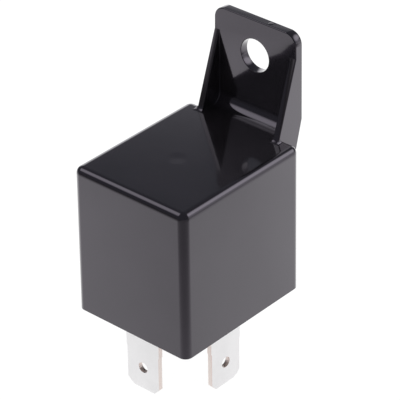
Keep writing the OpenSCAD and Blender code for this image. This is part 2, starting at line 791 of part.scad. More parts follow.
case();
base();
seal();
terminal_30();
terminal_87();
terminal_85();
terminal_86();
terminal_rivet();
yoke();
core();
bobbin();
winding();
armature();
contact_spring();
moving_contact();
fixed_contact();
armature_rivet_left();
armature_rivet_right();
yoke_rivet_left();
yoke_rivet_right();
backstop();
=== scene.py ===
"""Looks of a plug-in automotive relay with a moulded fixing bracket.

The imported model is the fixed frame. The moulded cover, the coil and the contact spring are
modelled here again in finer form, and every other piece keeps its solid and gets its finish.
Sizes are millimetres in the classes and become metres when a mesh is made.
"""
import json
import logging
import math
from contextlib import contextmanager
from dataclasses import dataclass, field
from enum import Enum
from typing import Iterable, Iterator, Protocol, Sequence

import bmesh
import bpy
from mathutils import Matrix, Vector

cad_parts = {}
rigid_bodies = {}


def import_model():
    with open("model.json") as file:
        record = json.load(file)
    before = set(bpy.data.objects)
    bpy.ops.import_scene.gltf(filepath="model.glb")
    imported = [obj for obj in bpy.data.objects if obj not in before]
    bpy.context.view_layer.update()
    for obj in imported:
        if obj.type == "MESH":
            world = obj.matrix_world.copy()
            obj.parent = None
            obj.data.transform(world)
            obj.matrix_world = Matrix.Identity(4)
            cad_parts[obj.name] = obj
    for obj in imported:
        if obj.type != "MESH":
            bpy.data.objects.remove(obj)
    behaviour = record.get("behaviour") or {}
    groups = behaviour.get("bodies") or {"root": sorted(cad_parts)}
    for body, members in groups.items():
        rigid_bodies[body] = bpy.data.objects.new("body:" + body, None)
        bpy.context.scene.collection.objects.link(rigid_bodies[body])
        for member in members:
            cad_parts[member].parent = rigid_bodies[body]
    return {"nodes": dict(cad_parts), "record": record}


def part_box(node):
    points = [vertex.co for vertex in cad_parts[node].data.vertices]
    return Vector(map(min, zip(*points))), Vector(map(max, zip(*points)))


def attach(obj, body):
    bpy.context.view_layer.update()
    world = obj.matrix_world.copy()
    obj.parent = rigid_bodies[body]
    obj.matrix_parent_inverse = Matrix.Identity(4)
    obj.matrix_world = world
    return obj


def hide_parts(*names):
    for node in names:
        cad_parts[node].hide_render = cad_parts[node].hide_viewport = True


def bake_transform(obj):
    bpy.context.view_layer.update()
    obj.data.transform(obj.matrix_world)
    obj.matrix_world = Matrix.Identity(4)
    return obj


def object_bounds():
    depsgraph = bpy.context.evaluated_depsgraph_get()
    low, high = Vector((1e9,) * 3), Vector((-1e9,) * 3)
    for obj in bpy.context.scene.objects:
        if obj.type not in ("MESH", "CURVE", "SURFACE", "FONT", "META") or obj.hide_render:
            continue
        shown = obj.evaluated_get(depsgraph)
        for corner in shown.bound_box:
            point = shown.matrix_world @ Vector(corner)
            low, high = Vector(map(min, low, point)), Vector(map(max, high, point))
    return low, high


for _startup in list(bpy.data.objects):
    bpy.data.objects.remove(_startup)
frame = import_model()
CAD_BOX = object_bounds()

MM = 0.001
LOG = logging.getLogger("relay")
WHITE = (1.0, 1.0, 1.0, 1.0)
Point = tuple[float, float, float]
Flat = tuple[float, float]
Object = bpy.types.Object
Material = bpy.types.Material
Tree = bpy.types.NodeTree
Socket = bpy.types.NodeSocket


# ---------------------------------------------------------------- small helpers


def linear(hex_colour: str) -> tuple[float, float, float, float]:
    """Turns an sRGB hex colour into linear RGBA.

    Args:
        hex_colour: six hex digits, with or without a leading #.

    Returns:
        Linear red, green, blue and an alpha of 1.
    """
    digits = hex_colour.lstrip("#")
    values = [int(digits[i:i + 2], 16) / 255 for i in (0, 2, 4)]
    red, green, blue = [v / 12.92 if v <= 0.04045 else ((v + 0.055) / 1.055) ** 2.4 for v in values]
    return red, green, blue, 1.0


def per_mm(size: float) -> float:
    """Texture scale, in cycles per metre, at which a pattern repeats every size millimetres."""
    return 1 / (size * MM)


def arc(centre: Flat, radius: float, start: float, end: float, steps: int) -> list[Flat]:
    """Points on an arc, angles in degrees.

    Args:
        centre: the arc's centre.
        radius: its radius.
        start: first angle.
        end: last angle.
        steps: number of chords.

    Returns:
        The steps + 1 points.
    """
    angles = [math.radians(start + (end - start) * i / steps) for i in range(steps + 1)]
    return [(centre[0] + radius * math.cos(a), centre[1] + radius * math.sin(a)) for a in angles]


def direction(azimuth: float, elevation: float) -> Vector:
    """Unit vector from the object: azimuth 0 is towards -Y and 90 towards +X, in degrees."""
    a, e = math.radians(azimuth), math.radians(elevation)
    return Vector((math.sin(a) * math.cos(e), -math.cos(a) * math.cos(e), math.sin(e)))


# ---------------------------------------------------------------- mesh tools


def new_object(name: str, mesh: bpy.types.Mesh) -> Object:
    """Links a mesh to the scene as an object."""
    thing = bpy.data.objects.new(name, mesh)
    bpy.context.scene.collection.objects.link(thing)
    return thing


def sheet(name: str, width: float, height: float, level: float, up: bool) -> bpy.types.Mesh:
    """Makes the mesh of a flat rectangle round the Z axis.

    Args:
        name: the mesh's name.
        width: its size along X, in millimetres.
        height: its size along Y, in millimetres.
        level: its Z, in metres.
        up: its face looks up, not down.

    Returns:
        The mesh.
    """
    x, y = width / 2 * MM, height / 2 * MM
    mesh = bpy.data.meshes.new(name)
    mesh.from_pydata([(-x, -y, level), (x, -y, level), (x, y, level), (-x, y, level)], [],
                     [(0, 1, 2, 3) if up else (3, 2, 1, 0)])
    return mesh


def dress(mesh: bpy.types.Mesh, material: Material) -> None:
    """Gives a mesh one material."""
    mesh.materials.clear()
    mesh.materials.append(material)


def drop(*things: Object) -> None:
    """Deletes helper objects."""
    for thing in things:
        bpy.data.objects.remove(thing)


def solid(name: str, points: Sequence[Point], faces: Iterable[Sequence[int]]) -> Object:
    """Makes a closed object, in millimetres, with its faces turned outwards.

    Args:
        name: the object's name.
        points: its corners.
        faces: corner numbers of each face.

    Returns:
        The object.
    """
    shape = bmesh.new()
    corners = [shape.verts.new(p) for p in points]
    for face in faces:
        shape.faces.new([corners[i] for i in face])
    bmesh.ops.recalc_face_normals(shape, faces=shape.faces)
    mesh = bpy.data.meshes.new(name)
    shape.to_mesh(mesh)
    shape.free()
    return new_object(name, mesh)


def stack(name: str, rings: Sequence[Sequence[Point]], hollow: bool = False) -> Object:
    """Joins rings of equal length, one after the other, and closes the solid.

    Args:
        name: the object's name.
        rings: the rings, each with the same number of points.
        hollow: joins the last ring to the first, as in a tube, and caps no end.

    Returns:
        The object.
    """
    count, many = len(rings[0]), len(rings)
    points = [p for ring in rings for p in ring]
    faces = [(i * count + k, i * count + (k + 1) % count,
              (i + 1) % many * count + (k + 1) % count, (i + 1) % many * count + k)
             for i in range(many if hollow else many - 1) for k in range(count)]
    if hollow:
        return solid(name, points, faces)
    first = list(range(count))[::-1]
    last = [(many - 1) * count + k for k in range(count)]
    return solid(name, points, [*faces, first, last])


def prism_x(name: str, outline: Sequence[Flat], low: float, high: float) -> Object:
    """Extrudes an outline in Y and Z along X, from low to high."""
    return stack(name, [[(x, y, z) for y, z in outline] for x in (low, high)])


def prism_y(name: str, outline: Sequence[Flat], low: float, high: float) -> Object:
    """Extrudes an outline in X and Z along Y, from low to high."""
    return stack(name, [[(x, y, z) for x, z in outline] for y in (low, high)])


def evaluated(thing: Object) -> None:
    """Applies an object's modifiers to its mesh."""
    graph = bpy.context.evaluated_depsgraph_get()
    mesh = bpy.data.meshes.new_from_object(thing.evaluated_get(graph))
    old = thing.data
    thing.modifiers.clear()
    thing.data = mesh
    bpy.data.meshes.remove(old)


class Join(Enum):
    """How two solids are put together."""

    ADD = "UNION"
    CUT = "DIFFERENCE"
    COMMON = "INTERSECT"


def combine(thing: Object, other: Object, how: Join) -> Object:
    """Puts two solids together and deletes the second.

    Args:
        thing: the solid that is kept and changed.
        other: the tool, which is used up.
        how: add, cut or keep what is common.

    Returns:
        The first solid.
    """
    step = thing.modifiers.new("join", "BOOLEAN")
    step.operation = how.value
    step.solver = "EXACT"
    step.object = other
    evaluated(thing)
    drop(other)
    return thing


def round_edges(thing: Object, radius: float, angle: float = 30, steps: int = 3) -> None:
    """Rounds every edge sharper than an angle.

    Args:
        thing: the solid.
        radius: width of the rounding.
        angle: smallest angle that is rounded, in degrees.
        steps: facets across the rounding.
    """
    step = thing.modifiers.new("edges", "BEVEL")
    step.width = radius
    step.segments = steps
    step.limit_method = "ANGLE"
    step.angle_limit = math.radians(angle)
    step.use_clamp_overlap = False
    evaluated(thing)


@contextmanager
def editing(mesh: bpy.types.Mesh) -> Iterator[bmesh.types.BMesh]:
    """Opens a mesh for editing and writes it back."""
    shape = bmesh.new()
    shape.from_mesh(mesh)
    yield shape
    shape.to_mesh(mesh)
    shape.free()


def tidy(thing: Object, merge: float = 0.002, flat: float = 0.2) -> None:
    """Merges double corners and dissolves edges inside flat faces.

    Args:
        thing: the solid.
        merge: corners closer than this become one.
        flat: faces that meet at less than this angle, in degrees, become one.
    """
    with editing(thing.data) as shape:
        bmesh.ops.remove_doubles(shape, verts=shape.verts, dist=merge)
        bmesh.ops.dissolve_limit(shape, angle_limit=math.radians(flat), verts=shape.verts, edges=shape.edges)


def finish_mesh(thing: Object, material: Material, sharp: float = 32) -> None:
    """Scales a solid to metres, shades it smooth with flat faces kept flat, and dresses it.

    Args:
        thing: the solid, in millimetres.
        material: its finish.
        sharp: angle above which an edge stays sharp, in degrees.
    """
    thing.data.transform(Matrix.Scale(MM, 4))
    thing.data.shade_smooth()
    thing.data.set_sharp_from_angle(angle=math.radians(sharp))
    step = thing.modifiers.new("shading", "WEIGHTED_NORMAL")
    step.weight = 50
    step.keep_sharp = True
    evaluated(thing)
    dress(thing.data, material)


def lathe(name: str, profile: Sequence[Flat], steps: int, place: Matrix, hollow: bool = False) -> Object:
    """Turns a profile about its axis.

    Args:
        name: the object's name.
        profile: radius and height of each point, from one end of the axis to the other.
        steps: facets round the axis.
        place: moves the turned solid, whose axis is Z, to where it belongs.
        hollow: the profile is a closed outline beside the axis.

    Returns:
        The object.
    """
    rings = []
    for radius, height in profile:
        ring = [(radius * math.cos(2 * math.pi * k / steps), radius * math.sin(2 * math.pi * k / steps),
                 height) for k in range(steps)]
        rings.append([tuple(place @ Vector(p)) for p in ring])
    return stack(name, rings, hollow)


def tube(name: str, path: Sequence[Vector], radius: float, sides: int) -> Object:
    """Sweeps a circle along a path.

    Args:
        name: the object's name.
        path: points along the middle.
        radius: the circle's radius.
        sides: facets round the tube.

    Returns:
        The object.
    """
    rings = []
    for i, point in enumerate(path):
        ahead = (path[min(i + 1, len(path) - 1)] - path[max(i - 1, 0)]).normalized()
        across = Vector((0, 0, 1)).cross(ahead).normalized()
        up = ahead.cross(across)
        turns = [2 * math.pi * k / sides for k in range(sides)]
        rings.append([tuple(point + radius * (math.cos(a) * across + math.sin(a) * up)) for a in turns])
    return stack(name, rings)


def gather(thing: Object, others: Sequence[Object]) -> None:
    """Puts loose solids into one object, side by side, and deletes the others."""
    with editing(thing.data) as shape:
        for each in others:
            shape.from_mesh(each.data)
    drop(*others)


# ---------------------------------------------------------------- finishes


def feed(tree: Tree, node: bpy.types.Node, wires: dict) -> None:
    """Links or sets a node's inputs.

    Args:
        tree: the node tree.
        node: the node.
        wires: inputs by name or number, each a socket to link or a value to set.
    """
    for key, value in wires.items():
        if isinstance(value, Socket):
            tree.links.new(value, node.inputs[key])
        else:
            node.inputs[key].default_value = value


def add_node(tree: Tree, kind: str, wires: dict | None = None, **settings) -> bpy.types.Node:
    """Adds a node with its settings and links.

    Args:
        tree: the node tree.
        kind: the node's type, without its ShaderNode prefix.
        wires: inputs by name or number, each a socket to link or a value to set.
        **settings: properties of the node.

    Returns:
        The node.
    """
    node = tree.nodes.new(f"ShaderNode{kind}")
    for name, value in settings.items():
        setattr(node, name, value)
    feed(tree, node, wires or {})
    return node


def ramp(tree: Tree, value: Socket,
         stops: Sequence[tuple[float, tuple[float, float, float, float]]]) -> Socket:
    """Colour ramp over a value.

    Args:
        tree: the node tree.
        value: the value that picks the colour.
        stops: position and linear colour of each stop.

    Returns:
        The ramp's colour.
    """
    node = add_node(tree, "ValToRGB", {"Fac": value})
    elements = node.color_ramp.elements
    while len(elements) < len(stops):
        elements.new(1.0)
    for element, (position, colour) in zip(elements, stops):
        element.position = position
        element.color = colour
    return node.outputs["Color"]


def node_tree(owner: bpy.types.ID) -> Tree:
    """Gives a material or world an empty node tree."""
    owner.use_nodes = True
    owner.node_tree.nodes.clear()
    return owner.node_tree


def noise(tree: Tree, point: Socket, size: float, detail: float, **more: float) -> Socket:
    """Noise that repeats about every size millimetres.

    Args:
        tree: the node tree.
        point: where it is read.
        size: size of its pattern.
        detail: number of finer layers.
        **more: other inputs, by name.

    Returns:
        Its value.
    """
    return add_node(tree, "TexNoise", {"Vector": point, "Scale": per_mm(size), "Detail": detail,
                                       **more}).outputs["Fac"]


def spread(tree: Tree, value: Socket, low: float, high: float,
           start: float = 0.0, end: float = 1.0) -> Socket:
    """Maps a value that runs from start to end to one that runs from low to high."""
    return add_node(tree, "MapRange", {"Value": value, "From Min": start, "From Max": end,
                                       "To Min": low, "To Max": high}).outputs["Result"]


def bump(tree: Tree, height: Socket, strength: float, depth: float, under: Socket | None = None) -> Socket:
    """Relief.

    Args:
        tree: the node tree.
        height: its height, from 0 to 1.
        strength: how much of it shows.
        depth: its depth, in millimetres.
        under: the relief that it lies on.

    Returns:
        The normal.
    """
    wires = {"Height": height, "Strength": strength, "Distance": depth * MM}
    if under is not None:
        wires["Normal"] = under
    return add_node(tree, "Bump", wires).outputs["Normal"]


def maths(tree: Tree, operation: str, *values: float | Socket) -> Socket:
    """Result of an operation on values or sockets."""
    return add_node(tree, "Math", dict(enumerate(values)), operation=operation).outputs["Value"]


def emission(tree: Tree, strength: float | Socket) -> Socket:
    """White light."""
    return add_node(tree, "Emission", {"Color": WHITE, "Strength": strength}).outputs["Emission"]


def mix(tree: Tree, share: float | Socket, first: Socket, second: Socket) -> Socket:
    """Mixes two shaders, where a share of 1 gives the second."""
    return add_node(tree, "MixShader", {"Fac": share, 1: first, 2: second}).outputs["Shader"]


def start_material(name: str) -> tuple[Material, Tree, bpy.types.Node]:
    """Makes an empty node material and its surface shader.

    Args:
        name: the material's name.

    Returns:
        The material, its node tree and its Principled node.
    """
    material = bpy.data.materials.new(name)
    tree = node_tree(material)
    shader = add_node(tree, "BsdfPrincipled")
    add_node(tree, "OutputMaterial", {"Surface": shader.outputs["BSDF"]})
    return material, tree, shader


def object_point(tree: Tree) -> Socket:
    """Position on the object, in metres, fixed to its mesh."""
    return add_node(tree, "TexCoord").outputs["Object"]


@dataclass(frozen=True)
class PolishedPbt:
    """Black PBT polyester, injection moulded in a polished cavity.

    The eye sees a deep black body under a clear gloss: flat faces mirror the pale floor as an
    even grey, and only the faint sink and flow of the moulding make that mirror less than
    perfect.
    """

    name: str = "black_pbt_polished_moulding"
    body: str = "#121113"
    flow: str = "#181619"
    # Carbon black in the resin gives its own mirror a faint violet cast
    cast: str = "#eed7ff"
    # Polymer resins lie near 1.5; the resin-rich skin adds a second clear boundary
    ior: float = 1.5
    roughness: float = 0.12
    skin_roughness: float = 0.045
    # Shallow sink between ribs and walls repeats every few millimetres
    sink: float = 7.0
    sink_depth: float = 0.012
    # Fine polish marks of the cavity, drawn at twice their real width so that they show
    polish: float = 0.12
    polish_depth: float = 0.0004

    def make(self) -> Material:
        """Builds the material."""
        material, tree, shader = start_material(self.name)
        point = object_point(tree)
        slow = noise(tree, point, self.sink, 1.0, Roughness=0.4)
        fine = noise(tree, point, self.polish, 2.0, Roughness=0.5)
        colour = ramp(tree, slow, [(0.35, linear(self.body)), (0.7, linear(self.flow))])
        gloss = spread(tree, fine, self.roughness * 0.8, self.roughness * 1.3)
        marks = bump(tree, fine, 1.0, self.polish_depth, bump(tree, slow, 1.0, self.sink_depth))
        feed(tree, shader, {"Base Color": colour, "Roughness": gloss, "Normal": marks,
                            "IOR": self.ior, "Specular Tint": linear(self.cast),
                            "Coat Weight": 1.0, "Coat IOR": self.ior,
                            "Coat Roughness": self.skin_roughness, "Coat Normal": marks})
        return material


@dataclass(frozen=True)
class SatinNylon:
    """Black glass-filled nylon, moulded against a spark-eroded cavity.

    The eye sees a soft satin black with a fine even grain and slightly paler glass fibre at
    the surface.
    """

    name: str = "black_glass_filled_nylon"
    body: str = "#1a191c"
    fibre: str = "#2b2a2c"
    roughness: float = 0.42
    grain: float = 0.18
    fibre_length: float = 0.5

    def make(self) -> Material:
        """Builds the material."""
        material, tree, shader = start_material(self.name)
        point = object_point(tree)
        grain = noise(tree, point, self.grain, 3.0)
        strands = noise(tree, point, self.fibre_length, 4.0, Distortion=1.2)
        colour = ramp(tree, strands, [(0.45, linear(self.body)), (0.75, linear(self.fibre))])
        gloss = spread(tree, grain, self.roughness - 0.06, self.roughness + 0.1)
        feed(tree, shader, {"Base Color": colour, "Roughness": gloss,
                            "Normal": bump(tree, grain, 0.7, 0.01)})
        return material


@dataclass(frozen=True)
class PottingResin:
    """Black epoxy, poured into the gutter and cured.

    The eye sees a wet-looking black surface that wanders up and down along the joint, with a
    few small bubbles.
    """

    name: str = "poured_black_epoxy"
    body: str = "#0f0e10"
    roughness: float = 0.16
    crest: str = "#1a1719"
    # Cured epoxy bends light a little more than the plastics round it
    ior: float = 1.55
    ripple: float = 1.6
    bubble: float = 0.7

    def make(self) -> Material:
        """Builds the material."""
        material, tree, shader = start_material(self.name)
        point = object_point(tree)
        ripple = noise(tree, point, self.ripple, 2.0)
        bubbles = add_node(tree, "TexVoronoi", {"Vector": point, "Scale": per_mm(self.bubble)})
        pits = spread(tree, bubbles.outputs["Distance"], 0.0, 1.0, start=0.04, end=0.16)
        relief = bump(tree, pits, 0.5, 0.03, bump(tree, ripple, 1.0, 0.08))
        colour = ramp(tree, ripple, [(0.3, linear(self.body)), (0.8, linear(self.crest))])
        feed(tree, shader, {"Base Color": colour, "Normal": relief, "Roughness": self.roughness,
                            "IOR": self.ior})
        return material


class Broadside(Enum):
    """The axis that a blade's plated faces look along."""

    X = 0
    Y = 1


@dataclass(frozen=True)
class TinnedBrass:
    """Brass strip, electro-tinned on both faces and then blanked.

    The eye sees pale satin tin with faint rolling lines on the broad faces, and warm bare
    brass with a pinkish copper underplate on the sheared edges and in the latch hole.
    """

    broadside: Broadside
    name: str = "electro_tinned_brass"
    tin: str = "#f5f4f5"
    tin_dull: str = "#f1f0f1"
    edge: str = "#f6ece7"
    copper: str = "#f1e1dc"
    roughness: float = 0.34
    # How much rougher the sheared metal is
    torn: float = 0.12
    # Rolling lines run along the strip, about a tenth of a millimetre apart
    rolling: float = 0.12
    # Matte tin grains, drawn coarser than the real few microns
    grain: float = 0.08
    # Slow drift of the plating's tone, and streaks of the torn edge
    drift: float = 2.5
    tear: float = 0.3

    def make(self) -> Material:
        """Builds the material."""
        material, tree, shader = start_material(f"{self.name}_{self.broadside.name.lower()}")
        point = object_point(tree)
        stretched = add_node(tree, "Mapping", {"Vector": point, "Scale": (1.0, 1.0, 0.04)})
        lines = noise(tree, stretched.outputs["Vector"], self.rolling, 2.0)
        grains = noise(tree, point, self.grain, 2.0)
        cloud = noise(tree, point, self.drift, 2.0)
        plate = ramp(tree, cloud, [(0.3, linear(self.tin_dull)), (0.65, linear(self.tin))])
        # Sheared edges face away from the strip's broadside
        normal = add_node(tree, "NewGeometry").outputs["True Normal"]
        parts = add_node(tree, "SeparateXYZ", {"Vector": normal})
        facing = maths(tree, "ABSOLUTE", parts.outputs[self.broadside.value])
        bare = spread(tree, facing, 0.0, 1.0, start=0.62, end=0.42)
        # A blanked edge is burnished where the punch entered and torn and darker where it left
        torn = noise(tree, stretched.outputs["Vector"], self.tear, 2.0)
        metal = ramp(tree, torn, [(0.3, linear(self.copper)), (0.6, linear(self.edge))])
        colour = add_node(tree, "Mix", {0: bare, 6: plate, 7: metal}, data_type="RGBA")
        gloss = spread(tree, grains, self.roughness - 0.05, self.roughness + 0.1)
        rough = maths(tree, "MULTIPLY_ADD", bare, self.torn, gloss)
        relief = bump(tree, grains, 0.4, 0.002, bump(tree, lines, 0.3, 0.003))
        feed(tree, shader, {"Base Color": colour.outputs[2], "Roughness": rough, "Normal": relief,
                            "Metallic": 1.0})
        return material


@dataclass(frozen=True)
class SheetMetal:
    """Stamped or turned metal of one colour, with the marks of its making.

    The eye sees a satin metal whose tone drifts slowly, with fine lines along the direction
    in which it was rolled or turned.
    """

    name: str
    colour: str
    shade: str
    roughness: float
    # Distance between the rolling or turning lines
    lines: float
    # How much the lines are drawn out along each axis
    stretch: Point = (1.0, 1.0, 0.05)
    # Size of the slow drift in tone
    drift: float = 2.0

    def make(self) -> Material:
        """Builds the material."""
        material, tree, shader = start_material(self.name)
        point = object_point(tree)
        drawn = add_node(tree, "Mapping", {"Vector": point, "Scale": self.stretch})
        lines = noise(tree, drawn.outputs["Vector"], self.lines, 2.0)
        cloud = noise(tree, point, self.drift, 3.0)
        colour = ramp(tree, cloud, [(0.3, linear(self.shade)), (0.65, linear(self.colour))])
        gloss = spread(tree, lines, self.roughness - 0.07, self.roughness + 0.1)
        feed(tree, shader, {"Base Color": colour, "Roughness": gloss,
                            "Normal": bump(tree, lines, 0.5, 0.004), "Metallic": 1.0})
        return material


# ---------------------------------------------------------------- studio


@dataclass
class Softbox:
    """A studio lamp behind a cloth, brightest in the middle and fading to its rim.

    Azimuth 0 is in front of the object, towards -Y, and 90 towards +X.
    """

    name: str
    azimuth: float
    elevation: float
    width: float
    height: float
    radiance: float
    # Share of the half width over which the light stays full
    core: float = 0.3
    turn: float = 0.0
    distance: float = 600.0

    def material(self) -> Material:
        """Glow that fades towards the rim and only leaves the front of the cloth."""
        material = bpy.data.materials.new(f"{self.name}_cloth")
        tree = node_tree(material)
        halves = (2 / (self.width * MM), 2 / (self.height * MM), 0.0)
        across = add_node(tree, "Mapping", {"Vector": object_point(tree), "Scale": halves})
        reach = add_node(tree, "VectorMath", {0: across.outputs["Vector"]}, operation="LENGTH")
        fade = add_node(tree, "MapRange",
                        {"Value": reach.outputs["Value"], "From Min": self.core, "From Max": 1.0,
                         "To Min": self.radiance, "To Max": 0.0}, interpolation_type="SMOOTHSTEP")
        front = maths(tree, "SUBTRACT", 1.0, add_node(tree, "NewGeometry").outputs["Backfacing"])
        glow = maths(tree, "MULTIPLY", fade.outputs["Result"], front)
        clear = add_node(tree, "BsdfTransparent")
        cloth = add_node(tree, "AddShader", {0: emission(tree, glow), 1: clear.outputs["BSDF"]})
        add_node(tree, "OutputMaterial", {"Surface": cloth.outputs["Shader"]})
        return material

    def make(self) -> None:
        """Hangs the cloth and turns it to the object."""
        mesh = sheet(self.name, self.width, self.height, 0.0, up=False)
        dress(mesh, self.material())
        cloth = new_object(self.name, mesh)
        away = direction(self.azimuth, self.elevation)
        cloth.location = away * self.distance * MM
        cloth.rotation_mode = "QUATERNION"
        spin = Matrix.Rotation(math.radians(self.turn), 4, "Z").to_quaternion()
        cloth.rotation_quaternion = away.to_track_quat("Z", "Y") @ spin
        cloth.visible_camera = False


@dataclass
class Studio:
    """Pale floor, soft lamps, dim surroundings and the camera."""

    azimuth: float = 41.75
    elevation: float = 32.0
    roll: float = 0.845
    distance: float = 379.1
    focal_length: float = 227.6
    aim: Point = (-0.083, 2.839, 15.977)
    floor_size: float = 4000.0
    # Brightness of the sheet as the gloss mirrors it: distance ahead of the relay, and level
    ahead: tuple[Flat, ...] = ((-14.0, 1.35), (-5.0, 1.18), (0.0, 1.06), (8.0, 1.0), (16.0, 0.91),
                               (22.0, 0.85), (35.0, 0.57), (50.0, 0.41), (75.0, 0.32))
    # The same from left to right, seen from the camera
    across: tuple[Flat, ...] = ((-400.0, 0.25), (-170.0, 0.42), (-120.0, 0.62), (-80.0, 0.92),
                                (-60.0, 0.98), (-35.0, 0.93), (15.0, 0.9), (45.0, 0.93),
                                (65.0, 0.89), (90.0, 0.95), (120.0, 0.95), (300.0, 0.65))
    # The sheet's own light as the camera sees it, its paper, and how much of that shows shadow
    floor_light: float = 1.1
    paper: str = "#f4f4f4"
    shadow: float = 0.12
    room_cast: str = "#ebefff"
    surroundings: float = 0.16
    fill: float = 0.75

    def camera(self) -> None:
        """Makes the camera and looks at the relay."""
        data = bpy.data.cameras.new("camera")
        data.sensor_width = 36.0
        data.lens = self.focal_length
        data.clip_start = 0.01
        data.clip_end = 20.0
        eye = bpy.data.objects.new("camera", data)
        bpy.context.scene.collection.objects.link(eye)
        away = direction(self.azimuth, self.elevation)
        eye.location = (Vector(self.aim) + away * self.distance) * MM
        eye.rotation_mode = "QUATERNION"
        turn = Matrix.Rotation(math.radians(-self.roll), 4, "Z").to_quaternion()
        eye.rotation_quaternion = (-away).to_track_quat("-Z", "Y") @ turn
        bpy.context.scene.camera = eye

    @staticmethod
    def level(tree: Tree, spot: bpy.types.Node, way: Vector, stops: Sequence[Flat]) -> Socket:
        """Brightness that varies along one direction on the floor.

        Args:
            tree: the node tree.
            spot: node that gives X and Y.
            way: the direction.
            stops: distances along it, in millimetres, and the brightness there.

        Returns:
            The brightness.
        """
        along = maths(tree, "MULTIPLY_ADD", spot.outputs["Y"], way.y,
                      maths(tree, "MULTIPLY", spot.outputs["X"], way.x))
        low, high = stops[0][0], stops[-1][0]
        share = spread(tree, along, 0.0, 1.0, start=low * MM, end=high * MM)
        # A ramp holds no more than 1, so it carries half the brightness
        half = ramp(tree, share, [((at - low) / (high - low), (v / 2, v / 2, v / 2, 1.0)) for at, v in stops])
        return maths(tree, "MULTIPLY", half, 2.0)

    def floor_material(self) -> Material:
        """White sheet that shows as white, keeps a soft shadow and lights the gloss."""
        material = bpy.data.materials.new("white_paper_sheet")
        tree = node_tree(material)
        path = add_node(tree, "LightPath")
        side = add_node(tree, "NewGeometry")
        spot = add_node(tree, "SeparateXYZ", {"Vector": object_point(tree)})
        mirrored = maths(tree, "MULTIPLY",
                         self.level(tree, spot, direction(self.azimuth, 0), self.ahead),
                         self.level(tree, spot, direction(self.azimuth + 90, 0), self.across))
        paper = add_node(tree, "BsdfDiffuse", {"Color": linear(self.paper)})
        clear = add_node(tree, "BsdfTransparent")
        tone = mix(tree, self.shadow, emission(tree, self.floor_light), paper.outputs["BSDF"])
        above = mix(tree, path.outputs["Is Glossy Ray"], tone, emission(tree, mirrored))
        whole = mix(tree, side.outputs["Backfacing"], above, clear.outputs["BSDF"])
        add_node(tree, "OutputMaterial", {"Surface": whole})
        return material

    def floor(self) -> None:
        """Lays the floor at the level of the blades' tips."""
        mesh = sheet("floor", self.floor_size, self.floor_size, CAD_BOX[0].z, up=True)
        dress(mesh, self.floor_material())
        new_object("floor", mesh)

    def world(self) -> None:
        """Dim surroundings for gloss, soft fill for the rest, white where the camera looks."""
        world = bpy.data.worlds.new("studio")
        bpy.context.scene.world = world
        tree = node_tree(world)
        path = add_node(tree, "LightPath")
        dim = add_node(tree, "Background", {"Color": linear(self.room_cast), "Strength": self.surroundings})
        fill = add_node(tree, "Background", {"Color": WHITE, "Strength": self.fill})
        white = add_node(tree, "Background", {"Color": WHITE, "Strength": 1.0})
        room = mix(tree, path.outputs["Is Glossy Ray"], fill.outputs["Background"], dim.outputs["Background"])
        seen = mix(tree, path.outputs["Is Camera Ray"], room, white.outputs["Background"])
        add_node(tree, "OutputWorld", {"Surface": seen})

    def make(self) -> None:
        """Sets the whole stage."""
        self.camera()
        self.floor()
        self.world()
        Softbox("softbox_left", azimuth=-60.5, elevation=50, width=605, height=285, radiance=1.4,
                turn=-38).make()
        Softbox("softbox_back", azimuth=141.7, elevation=33.3, width=610, height=420, radiance=2.1,
                turn=40).make()
        Softbox("softbox_low", azimuth=131, elevation=8, width=520, height=280, radiance=0.75).make()
        Softbox("softbox_rear", azimuth=-140, elevation=14, width=900, height=436, radiance=1.3).make()
        bpy.context.scene.view_settings.view_transform = "Standard"


# ---------------------------------------------------------------- the moulded cover


